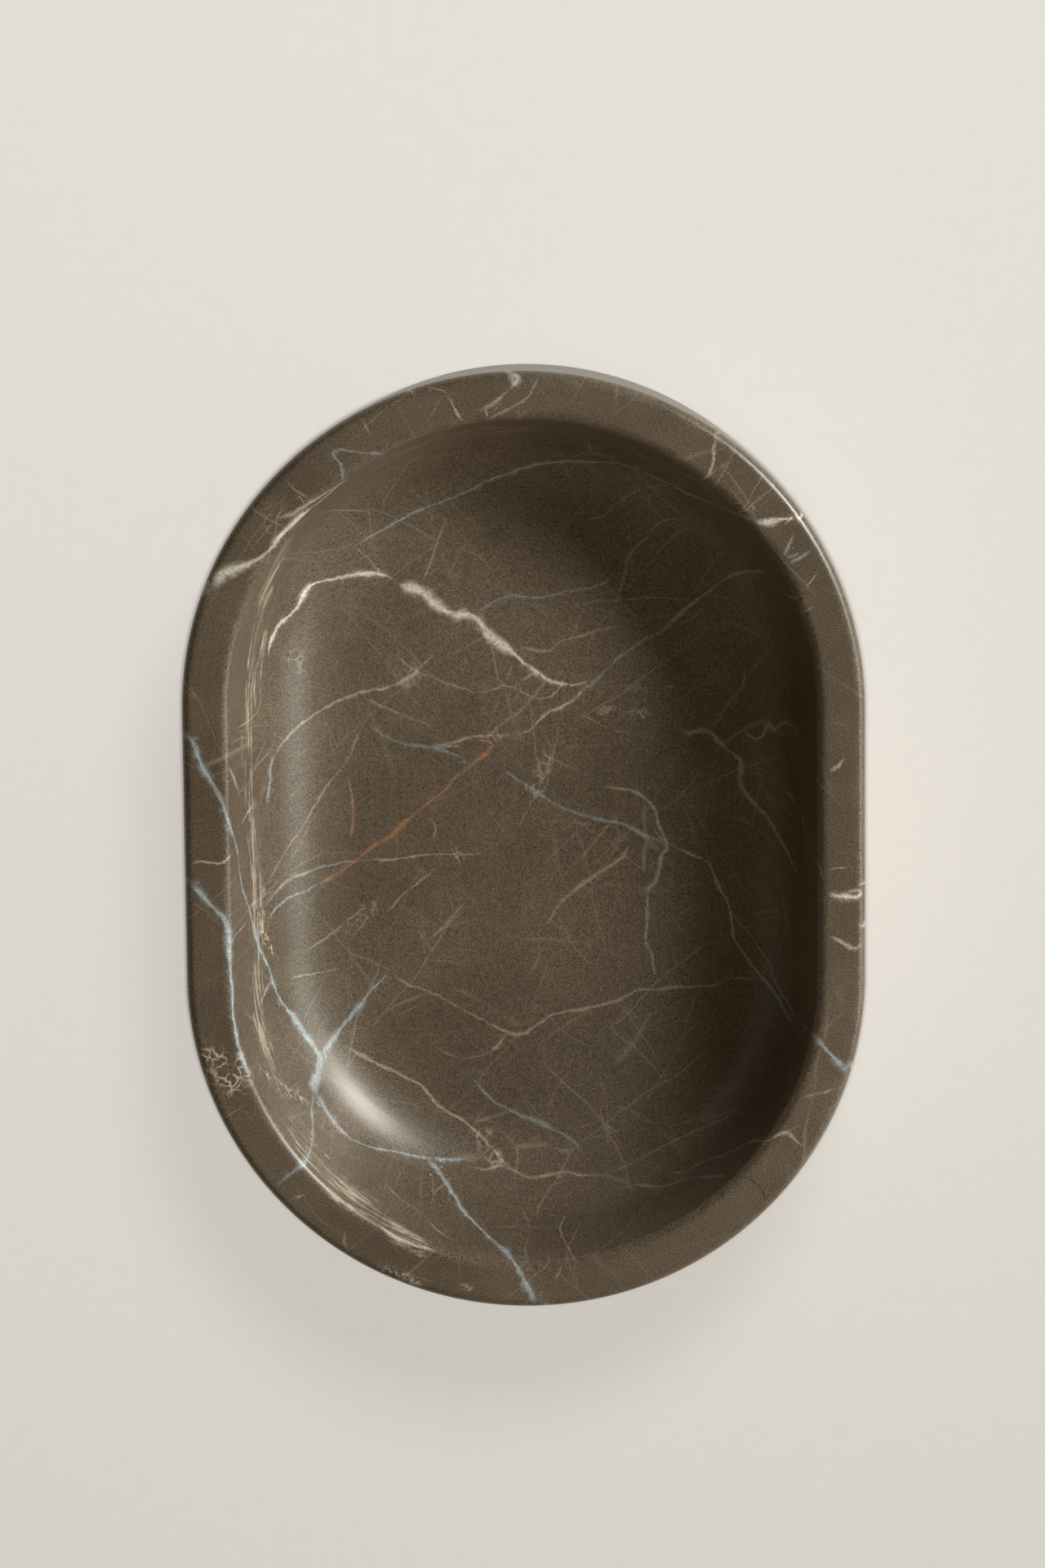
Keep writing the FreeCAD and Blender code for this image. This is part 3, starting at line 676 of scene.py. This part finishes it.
class Layer:
    """What each surface point knows of the nearest route: signed distance, distance, half width, colour."""

    def __init__(self, mesh):
        self.mesh = mesh
        self.spots = np.empty((len(mesh.vertices), 3), np.float32)
        self.normals = np.empty_like(self.spots)
        mesh.vertices.foreach_get("co", self.spots.ravel())
        mesh.vertices.foreach_get("normal", self.normals.ravel())
        self.clear = np.full(len(self.spots), np.inf)
        self.course = np.tile([FAR_AWAY, FAR_AWAY, 0.0], (len(self.spots), 1))
        self.tint = np.zeros((len(self.spots), 4))

    def add(self, route, halves, colour, strength):
        """Nearest point on each stretch of the route: the foot of the perpendicular, kept in the stretch."""
        inside = (self.spots > route.min(0) - BAND) & (self.spots < route.max(0) + BAND)
        near = np.all(inside, axis=1).nonzero()[0]
        start, run = route[:-1], np.diff(route, axis=0)
        length = np.linalg.norm(run, axis=1)
        gone = np.concatenate([[0], np.cumsum(length)])
        offset = self.spots[near, None] - start
        share = np.clip((offset * run).sum(-1) / np.maximum(length, TINY) ** 2, 0, 1)
        offset = offset - share[..., None] * run
        best = (offset ** 2).sum(-1).argmin(1)
        row = np.arange(len(near))
        offset, share = offset[row, best], share[row, best]
        gap = np.linalg.norm(offset, axis=1)
        half = halves[best] * (1 - share) + halves[best + 1] * share
        side = np.sign((np.cross(run[best], offset) * self.normals[near]).sum(-1))
        along = gone[best] + share * length[best]
        fade = np.clip(np.minimum(along, gone[-1] - along) / min(FADE, gone[-1] / 3), 0, 1)
        wins = (gap < BAND + half) & (gap - half < self.clear[near])
        at = near[wins]
        self.clear[at] = (gap - half)[wins]
        self.course[at] = np.stack([side * gap, gap, half], axis=-1)[wins] / MM
        self.tint[at] = np.column_stack([np.tile(colour[:3], (len(at), 1)), strength * fade[wins]])

    def store(self, name):
        """Write the layer to the mesh as two attributes."""
        course = self.mesh.attributes.new(f"{name}_course", "FLOAT_VECTOR", "POINT")
        course.data.foreach_set("vector", self.course.astype(np.float32).ravel())
        tint = self.mesh.attributes.new(f"{name}_tint", "FLOAT_COLOR", "POINT")
        tint.data.foreach_set("color", self.tint.astype(np.float32).ravel())
        print(name, "reaches", int((self.tint[:, 3] > 0).sum()), "surface points")


hairs = {name: (colour, strength, [(*spot, HAIR_WIDTH) for spot in spots])
         for name, (colour, strength, spots) in HAIRLINES.items()}
photo_groups = {"broad": BROAD_VEINS, "fine": FINE_VEINS, "patch": PATCHES, "fibre": FIBRES, "hair": hairs}
PIXELS_PER_DEGREE = PIXELS_PER_MM * END_RADIUS / MM * math.pi / 180
for group, veins in photo_groups.items():
    layer = Layer(dish.data)
    for colour, strength, spots in veins.values():
        layer.add(*lay(spots, seen_at, (1, 1)), colour, strength)
    if group == "broad":
        for colour, strength, spots in WALL_VEINS.values():
            layer.add(*lay(spots, wall_at, (PIXELS_PER_DEGREE, PIXELS_PER_MM)), colour, strength)
    layer.store(group)

# %% [markdown]
# ## Shader arithmetic
#
# A finish is a node tree, and long chains of Math nodes are hard to read. Here a socket is wrapped in a
# small class whose operators add the Math nodes, so that a mask can be written as an ordinary expression.

# %% Wrap a socket


class Tone:
    """A number or colour that varies over a surface: a socket, with arithmetic that adds Math nodes."""

    def __init__(self, finish, socket):
        self.finish = finish
        self.socket = socket

    def math(self, operation, *operands):
        return self.finish.node("ShaderNodeMath", {"operation": operation}, operands)

    def __add__(self, other):
        return self.math("ADD", self, other)

    def __sub__(self, other):
        return self.math("SUBTRACT", self, other)

    def __rsub__(self, other):
        return self.math("SUBTRACT", other, self)

    def __mul__(self, other):
        return self.math("MULTIPLY", self, other)

    def __truediv__(self, other):
        return self.math("DIVIDE", self, other)

    def __rtruediv__(self, other):
        return self.math("DIVIDE", other, self)

    def __abs__(self):
        return self.math("ABSOLUTE", self)

    __radd__ = __add__
    __rmul__ = __mul__

    def ramp(self, start, end, low=0.0, high=1.0):
        """Low at start and high at end, easing in and out; start may be the larger."""
        return self.finish.node("ShaderNodeMapRange", {"interpolation_type": "SMOOTHSTEP"}, {
            "Value": self, "From Min": start, "From Max": end, "To Min": low, "To Max": high})

    def also(self, output):
        """Another output of the same node."""
        return Tone(self.finish, self.socket.node.outputs[output])


print("Tone adds Math nodes for + - * / and abs")

# %% [markdown]
# ## Node trees
#
# Every node comes from one method, which sets the node's settings, then fills or links its sockets. The
# other methods only name the few nodes that are wanted again and again.

# %% Wrap a node tree
RELIEF_DEPTH = 0.1 * MM


class Finish:
    """The node tree of a material or of the world."""

    def __init__(self, owner):
        owner.use_nodes = True
        self.owner = owner
        self.tree = owner.node_tree
        self.tree.nodes.clear()

    def node(self, kind, settings=None, sockets=None, output=0):
        """Add a node: its settings first, then a value or a link for each socket; return one output."""
        made = self.tree.nodes.new(kind)
        for key, value in (settings or {}).items():
            setattr(made, key, value)
        given = sockets.items() if isinstance(sockets, dict) else enumerate(sockets or [])
        for key, value in given:
            if isinstance(value, Tone):
                self.tree.links.new(value.socket, made.inputs[key])
            else:
                made.inputs[key].default_value = value
        return Tone(self, made.outputs[output]) if made.outputs else made

    def vector(self, operation, *operands, **named):
        """Vector Math."""
        sockets = {**dict(enumerate(operands)), **named}
        return self.node("ShaderNodeVectorMath", {"operation": operation}, sockets)

    def millimetres(self):
        """Object coordinates in millimetres."""
        return self.vector("SCALE", self.node("ShaderNodeTexCoord", output="Object"), Scale=1 / MM)

    def mix(self, factor, first, second, blend="MIX"):
        """Blend two colours by a factor."""
        return self.node("ShaderNodeMix", {"data_type": "RGBA", "blend_type": blend},
                         {0: factor, 6: first, 7: second}, output=2)

    def noise(self, where, scale, detail=2.0, roughness=0.5, output="Fac"):
        """Cloudy noise; scale is in waves per unit of where."""
        return self.node("ShaderNodeTexNoise", None,
                         {"Vector": where, "Scale": scale, "Detail": detail, "Roughness": roughness}, output)

    def bent(self, where, scale, reach):
        """Coordinates pushed about by slow noise, by up to half of reach."""
        push = self.noise(where, scale, detail=3.0, roughness=0.55, output="Color")
        return self.vector("MULTIPLY_ADD", push, (reach, reach, reach), where)

    def cells(self, where, scale, feature):
        """Voronoi cells: a distance, in the units of where."""
        return self.node("ShaderNodeTexVoronoi", {"feature": feature},
                         {"Vector": where, "Scale": scale}, "Distance") / scale

    def attribute(self, name, output="Fac"):
        """What the surface points carry under this name."""
        return self.node("ShaderNodeAttribute", {"attribute_name": name}, None, output)

    def relief(self, height, strength):
        """A bumpy normal; a height of 1 stands for the relief's depth."""
        return self.node("ShaderNodeBump", None,
                         {"Strength": strength, "Distance": RELIEF_DEPTH, "Height": height})

    def principled(self, **sockets):
        """The Principled shader; underscores in the names stand for spaces."""
        inputs = {name.replace("_", " "): value for name, value in sockets.items()}
        return self.node("ShaderNodeBsdfPrincipled", None, inputs)

    def close(self, shader):
        """Give the shader to the tree's output and return the material or world."""
        kind = "World" if isinstance(self.owner, bpy.types.World) else "Material"
        self.node(f"ShaderNodeOutput{kind}", None, [shader])
        return self.owner


print("Finish has", ", ".join(name for name in vars(Finish) if not name.startswith("_")))

# %% [markdown]
# ## The ground of the marble
#
# The ground is a warm brown limestone mud, baked hard: cloudy, blotched, grainy, and honed with a fine
# stone that leaves faint streaks round the bowl. It is crazed all over with hairlines too fine to trace.
# Stretched noise looks like brush strokes there, so the hairlines are the borders between long Voronoi
# cells instead, in six families that each run their own way, broken up by noise.

# %% Mix the ground
GROUND_DARK = srgb(79, 69, 56)
GROUND_LIGHT = srgb(92, 81, 68)
GROUND_WARM = srgb(96, 81, 64)
# Painted shade: the flat rim is painted darker, as if it caught less light than the bowl floor.
PAINTED_RIM_SHADE = (0.84, 0.84, 0.84, 1.0)
CLOUDS = {"scale": 0.035, "detail": 5.0, "roughness": 0.6}      # noises: scale in waves per millimetre
BLOTCHES = {"scale": 0.28, "detail": 6.0, "roughness": 0.65}
REGIONS = {"scale": 0.06, "detail": 2.0}
BREAKS = {"scale": 0.09, "detail": 3.0}
SLOW_BEND = (0.03, 8.0)     # waves per millimetre, and reach in millimetres
QUICK_BEND = (0.8, 0.25)
CRACK_WIDTH = 0.1
CRACK_TILT = (0.25, 0.15)
CELL_SHIFT = 70.0
BREAK_SHIFT = 9.0
CRACKLES = (    # bearing in degrees, cell across in mm, stretch, seed, strength
    (38.0, 13.0, 7.0, 11.0, 0.24), (-48.0, 12.0, 7.0, 3.0, 0.20), (62.0, 9.0, 6.0, 37.0, 0.20),
    (-22.0, 12.0, 5.0, 23.0, 0.13), (-70.0, 8.0, 5.0, 51.0, 0.12), (12.0, 8.0, 5.0, 67.0, 0.10))


def baked_mud(finish, where, grain, streak):
    """Brown mud: slow clouds, warmer blotches, grain and rubbing streaks, and a painted shade on the flat
    rim.
    """
    clouds = finish.noise(where, **CLOUDS).ramp(0.34, 0.68)
    blotches = finish.noise(where, **BLOTCHES).ramp(0.5, 0.75, high=0.4)
    mud = finish.mix(clouds, GROUND_DARK, GROUND_LIGHT)
    mud = finish.mix(blotches, mud, GROUND_WARM)
    mud = finish.mix(1.0, mud, grain.ramp(0.22, 0.78), "SOFT_LIGHT")
    mud = finish.mix(0.25, mud, streak, "SOFT_LIGHT")
    height = finish.node("ShaderNodeSeparateXYZ", None, [where], "Z")
    # painted shade: the top of the rim is darkened in its colour
    painted_shade_on_rim = height.ramp(RIM_LEVEL / MM - 1.0, RIM_LEVEL / MM - 0.1)
    return finish.mix(painted_shade_on_rim, mud, finish.mix(1.0, mud, PAINTED_RIM_SHADE, "MULTIPLY"))


def crackle(finish, where, bearing, cell, stretch, seed):
    """Hairline cracks that run mostly one way: the borders between cells that are long along that bearing."""
    turned = finish.node("ShaderNodeMapping", {"vector_type": "TEXTURE"}, {
        "Vector": where, "Location": (seed * CELL_SHIFT,) * 3,
        "Rotation": (*CRACK_TILT, math.radians(bearing)), "Scale": (cell * stretch, cell, cell * stretch)})
    return finish.cells(turned, 1.0, "DISTANCE_TO_EDGE").ramp(CRACK_WIDTH / cell, 0.0)


def crazed(finish, where, ground):
    """The ground with every family of hairlines, denser in some regions than in others."""
    bent = finish.bent(finish.bent(where, *SLOW_BEND), *QUICK_BEND)
    regions = finish.noise(where, **REGIONS).ramp(0.36, 0.6, low=0.25)
    for bearing, cell, stretch, seed, strength in CRACKLES:
        elsewhere = finish.vector("ADD", where, (seed * BREAK_SHIFT,) * 3)
        broken = finish.noise(elsewhere, **BREAKS).ramp(0.46, 0.6)
        lines = crackle(finish, bent, bearing, cell, stretch, seed) * broken * regions
        ground = finish.mix(lines * strength, ground, CREAM)
    return ground


print(len(CRACKLES), "families of hairlines")

# %% [markdown]
# ## The veins in the marble
#
# The traced veins are painted over the ground, layer by layer, each drawn from the distance that the
# surface points carry. A vein isn't a clean stripe: noise pushes its edges about and lets it swell, its
# filling is made of grains with gaps, and the broad ones have stained the stone beside them. Patches are
# filled with lace, the borders of small Voronoi cells, and bands of fibres with noise that is drawn out
# along the polishing marks.

# %% Paint the veins
WOBBLE = {"scale": 0.9, "detail": 2.0}
FINE_WOBBLE = {"scale": 3.0, "detail": 2.0}
SWELLS = {"scale": 0.22, "detail": 2.0}
CRUMBS = {"scale": 2.6, "detail": 4.0, "roughness": 0.8}
GAPS = {"scale": 0.45, "detail": 3.0}
FIBRE_WAVES = (110.0, 1000.0, 0.0)      # waves per metre along the outline and along the section
LACE_SCALE = 0.75                       # cells per millimetre
LACE_BEND = (0.6, 2.2)
END_OPEN, END_CLOSED = 0.3, 0.6         # millimetres beyond a vein's edge
THINNEST = 0.01


def vein_mask(finish, name, wobble, swell, filling, outer, inner):
    """How much of a layer's vein shows, and its colour.

    With the distance |signed distance + wobble| counted in half widths times swell, the vein is clear beyond
    outer and solid within inner, with a soft foot. Filling thins it out, and past its end the plain distance
    closes it.
    """
    course = finish.node("ShaderNodeSeparateXYZ", None, [finish.attribute(f"{name}_course", "Vector")])
    gap, half = course.also("Y"), course.also("Z")
    tint = finish.attribute(f"{name}_tint", "Color")
    body = (abs(course + wobble) / (half * swell + THINNEST)).ramp(outer, inner)
    closed = (gap - half).ramp(END_CLOSED, END_OPEN)
    return body * body * closed * filling * tint.also("Alpha"), tint


def veined(finish, where, rubbed, ground):
    """The ground with the traced layers on it, the broad veins and the stain beside them last."""
    slow, quick = finish.noise(where, **WOBBLE) - 0.5, finish.noise(where, **FINE_WOBBLE) - 0.5
    wobble = slow * 0.5 + quick * 0.35
    swell = finish.noise(where, **SWELLS).ramp(0.3, 0.7, low=0.4, high=1.4)
    crumbs = finish.noise(where, **CRUMBS)
    gaps = finish.noise(where, **GAPS)
    lace = finish.cells(finish.bent(where, *LACE_BEND), LACE_SCALE, "DISTANCE_TO_EDGE").ramp(0.2, 0.04)
    fibres = finish.noise(finish.vector("MULTIPLY", rubbed, FIBRE_WAVES), 1.0, 5.0, 0.75).ramp(0.46, 0.64)
    fine = crumbs.ramp(0.3, 0.6, 0.5, 0.95) * gaps.ramp(0.3, 0.5, 0.6, 1.0)
    broad = crumbs.ramp(0.3, 0.56, 0.5, 1.0) * gaps.ramp(0.3, 0.6, 0.65, 1.0)
    layers = (      # name, wobble, filling, and the half widths at which it is clear and solid
        ("fibre", wobble * 3.0, fibres, 1.5, 0.5),
        ("patch", wobble * 3.0, lace * gaps.ramp(0.35, 0.55), 1.5, 0.3),
        ("hair", wobble, gaps.ramp(0.34, 0.54, 0.45, 0.95), 1.6, 0.0),
        ("fine", wobble, fine, 1.7, 0.0),
        ("broad", wobble * 4.0, gaps.ramp(0.42, 0.65, 0.0, 0.3), 4.5, 0.5),
        ("broad", wobble, broad, 1.5, 0.2))
    for name, shift, filling, outer, inner in layers:
        mask, tint = vein_mask(finish, name, shift, swell, filling, outer, inner)
        grained = finish.mix(1.0, tint, crumbs.ramp(0.25, 0.75, 0.65, 1.25), "MULTIPLY")
        ground = finish.mix(mask, ground, grained)
    return ground


print("layers of veins:", ", ".join(photo_groups))

# %% [markdown]
# ## The finished marble
#
# The surface is honed, not mirror polished: a middling roughness that varies with the grain and with the
# streaks of rubbing, and a slight relief that breaks up the highlights. A few crystals show as white
# specks.

# %% Finish the dish
HONED = 0.36
SHEEN = (0.98, 1.0, 0.93, 1.0)
GRAIN = {"scale": 4.6, "detail": 3.0, "roughness": 0.7}
RUBBING_WAVES = (60.0, 3200.0, 0.0)     # waves per metre along the outline and along the section
SPECKS_PER_MM = 0.16
SPECK_RADIUS = 0.16


def marble():
    """Honed brown marble with the dish's own veins."""
    finish = Finish(bpy.data.materials.new("honed_brown_marble"))
    where = finish.millimetres()
    rubbed = finish.node("ShaderNodeUVMap", {"uv_map": "polish"})
    grain = finish.noise(where, **GRAIN)
    streak = finish.noise(finish.vector("MULTIPLY", rubbed, RUBBING_WAVES), 1.0, 3.0, 0.6)
    ground = crazed(finish, where, baked_mud(finish, where, grain, streak))
    colour = veined(finish, where, rubbed, ground)
    sparse = finish.noise(where, 0.21).ramp(0.55, 0.6, high=0.8)
    specks = finish.cells(where, SPECKS_PER_MM, "F1").ramp(SPECK_RADIUS, SPECK_RADIUS / 2) * sparse
    colour = finish.mix(specks, colour, MILK)
    roughness = HONED + (streak - 0.5) * 0.14 + (grain - 0.5) * 0.1
    return finish.close(finish.principled(
        Base_Color=colour, Roughness=roughness, Normal=finish.relief(streak + grain * 0.5, 0.12),
        Specular_Tint=SHEEN))


dish.data.materials.append(marble())
print("marble of", len(dish.active_material.node_tree.nodes), "nodes")

# %% [markdown]
# ## Feet and adhesive
#
# The feet are frosted bumpers, punched from a sheet of clear rubber that has gone a little grey, and
# their adhesive is a film with tiny bubbles. Both stay as the packed model has them and get a finish
# only.

# %% Finish the feet
RUBBER_GREY = srgb(182, 183, 178)
RUBBER_PALE = srgb(206, 206, 200)
FILM_PALE = srgb(226, 223, 208)
FILM_TAN = srgb(206, 200, 180)


def frosted_rubber():
    """Greyish, slightly cloudy rubber with the fine pitting of its mould."""
    finish = Finish(bpy.data.materials.new("frosted_rubber"))
    where = finish.millimetres()
    haze = finish.noise(where, 0.4, detail=4.0)
    pits = finish.noise(where, 6.0)
    return finish.close(finish.principled(
        Base_Color=finish.mix(haze, RUBBER_GREY, RUBBER_PALE), Roughness=0.45 + haze * 0.15,
        Normal=finish.relief(pits, 0.2), Transmission_Weight=0.25, IOR=1.45))


def adhesive_film():
    """Pale film with small bubbles."""
    finish = Finish(bpy.data.materials.new("adhesive_film"))
    bubbles = finish.cells(finish.millimetres(), 1.4, "F1").ramp(0.12, 0.3)
    return finish.close(finish.principled(
        Base_Color=finish.mix(bubbles, FILM_PALE, FILM_TAN), Roughness=0.35 + bubbles * 0.25))


finishes = {"foot": frosted_rubber(), "adhesive": adhesive_film()}
for name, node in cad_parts.items():
    family = name.split("_")[0]
    if family in finishes:
        node.data.materials.clear()
        node.data.materials.append(finishes[family])
print("finished:", ", ".join(finishes))

# %% [markdown]
# ## The floor
#
# The dish lies on pale paper, which gives the photograph its background. The paper is see-through from
# below, so that the underside can be looked at too. It neither shades the stone nor brightens it, apart
# from its reflection, so that the dark side of the bowl stays as dark as in the photograph.

# %% Lay the floor
PAPER_GREY = srgb(225, 222, 216)
PAPER_PALE = srgb(229, 226, 220)
FLOOR_RADIUS = 6.0
FLOOR_SIDES = 96


def floor_disc(radius, sides):
    """A disc on the ground: one ring of points, radius * (cos, sin), and one many-sided face."""
    angle = np.linspace(0, 2 * math.pi, sides, endpoint=False)
    ring = np.stack([radius * np.cos(angle), radius * np.sin(angle), 0 * angle], axis=-1)
    mesh = bpy.data.meshes.new("floor")
    mesh.from_pydata(ring, [], [range(sides)])
    disc = bpy.data.objects.new("floor", mesh)
    bpy.context.scene.collection.objects.link(disc)
    return disc


def pale_paper():
    """Matt warm paper, open from behind."""
    finish = Finish(bpy.data.materials.new("pale_paper"))
    pulp = finish.noise(finish.millimetres(), 0.4, detail=4.0, roughness=0.6)
    sheet = finish.principled(Base_Color=finish.mix(pulp, PAPER_GREY, PAPER_PALE), Roughness=0.9)
    behind = finish.node("ShaderNodeNewGeometry", output="Backfacing")
    nothing = finish.node("ShaderNodeBsdfTransparent")
    return finish.close(finish.node("ShaderNodeMixShader", None, [behind, sheet, nothing]))


floor = floor_disc(FLOOR_RADIUS, FLOOR_SIDES)
floor.data.materials.append(pale_paper())
floor.visible_shadow = False
floor.visible_diffuse = False
print("floor:", 2 * FLOOR_RADIUS, "m across")

# %% [markdown]
# ## The lamps
#
# The photograph's background is evenly bright while the stone is lit low from its right, so stone and
# paper have lamps of their own, kept apart by light linking. On the stone, a wide key from the far right
# and a low lamp from the right give most of the shading, without a reflection of their own. A small spark
# beside the key does the opposite and shows only as the highlight in the sweep, because a lamp that is
# wide enough for the soft shadow would smear it. A glint beside the low lamp gives both. A weak lamp
# hangs overhead, a warm fill comes from the near end, and one lamp lights the underside. On the paper, a
# small lamp at the camera hides its shadow behind the dish, and a weaker one lets a soft shadow fall
# towards the near end.

# %% Light the dish


def softbox(name, bearing, lift, distance, size, level, lit, colour=(1, 1, 1), matt=True, shiny=True):
    """A rectangular lamp that faces the dish and lights only some objects.

    The bearing runs from +X towards +Y and the lift up from the floor, in degrees. The level is the
    brightness that the lamp gives a white card held square to it. A lamp that isn't shiny leaves no
    reflection of itself, and one that isn't matt leaves nothing else.
    """
    lamp = bpy.data.lights.new(name, "AREA")
    lamp.shape = "RECTANGLE"
    lamp.size, lamp.size_y = size
    lamp.energy = level * (math.pi * distance) ** 2
    lamp.color = colour
    box = bpy.data.objects.new(name, lamp)
    across, rise = math.radians(bearing), math.radians(lift)
    heading = Vector((math.cos(rise) * math.cos(across), math.cos(rise) * math.sin(across), math.sin(rise)))
    turn = heading.to_track_quat("Z", "Y").to_matrix().to_4x4()
    box.matrix_world = Matrix.Translation(rim_centre + heading * distance) @ turn
    box.visible_camera = False
    box.visible_diffuse = matt
    box.visible_glossy = shiny
    bpy.context.scene.collection.objects.link(box)
    receivers = bpy.data.collections.new(f"lit_by_{name}")
    for piece in lit:
        receivers.objects.link(piece)
    box.light_linking.receiver_collection = receivers


stone_pieces = [dish, *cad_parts.values()]
WARM_WHITE = (1.0, 0.985, 0.955)
AMBER = (1.0, 0.87, 0.66)
softbox("key_softbox", 35.0, 36.0, 1.0, (0.55, 0.18), 0.95, stone_pieces, WARM_WHITE, shiny=False)
softbox("spark_softbox", 32.0, 29.0, 0.95, (0.2, 0.17), 1.1, stone_pieces, WARM_WHITE, matt=False)
softbox("low_softbox", 4.0, 22.0, 0.55, (0.5, 0.2), 0.75, stone_pieces, WARM_WHITE, shiny=False)
softbox("glint_softbox", 2.0, 22.0, 0.5, (0.45, 0.18), 0.5, stone_pieces, WARM_WHITE)
softbox("top_softbox", -10.0, 65.0, 1.0, (0.8, 0.5), 0.10, stone_pieces, WARM_WHITE, shiny=False)
softbox("fill_softbox", -100.0, 24.0, 1.2, (0.9, 0.5), 0.22, stone_pieces, AMBER, shiny=False)
softbox("under_softbox", -60.0, -50.0, 1.2, (0.9, 0.9), 0.45, stone_pieces, shiny=False)
softbox("paper_softbox", 82.6, 79.4, VIEW_DISTANCE, (0.03, 0.03), 0.78, [floor])
softbox("shadow_softbox", 72.0, 52.0, 1.0, (0.3, 0.3), 0.2, [floor])
print(len(bpy.data.lights), "lamps lit")

# %% [markdown]
# ## The room
#
# Beyond the lamps the room is dim and brown overhead, which keeps the shaded side of the bowl warm. It
# turns pale a little above eye level and stays so below it, which the rounded edges pick up.

# %% Surround the dish
ROOM_BROWN = (0.10, 0.078, 0.040, 1.0)
ROOM_PALE = (0.66, 0.63, 0.58, 1.0)
PALE_BELOW = 0.14       # height at which the brown ends, as the sine of the angle above eye level

room = Finish(bpy.data.worlds.new("studio"))
direction = room.node("ShaderNodeTexCoord", output="Generated")
upward = room.node("ShaderNodeSeparateXYZ", None, [direction], "Z")
walls = room.mix(upward.ramp(PALE_BELOW, 0.0), ROOM_BROWN, ROOM_PALE)
bpy.context.scene.world = room.close(room.node("ShaderNodeBackground", None, [walls]))
bpy.context.scene.view_settings.view_transform = "Standard"
print("room of", len(room.tree.nodes), "nodes")

# %% [markdown]
# ## The size
#
# The carved dish was drawn to just fill the box of the packed model, and the finishes don't make it bigger.
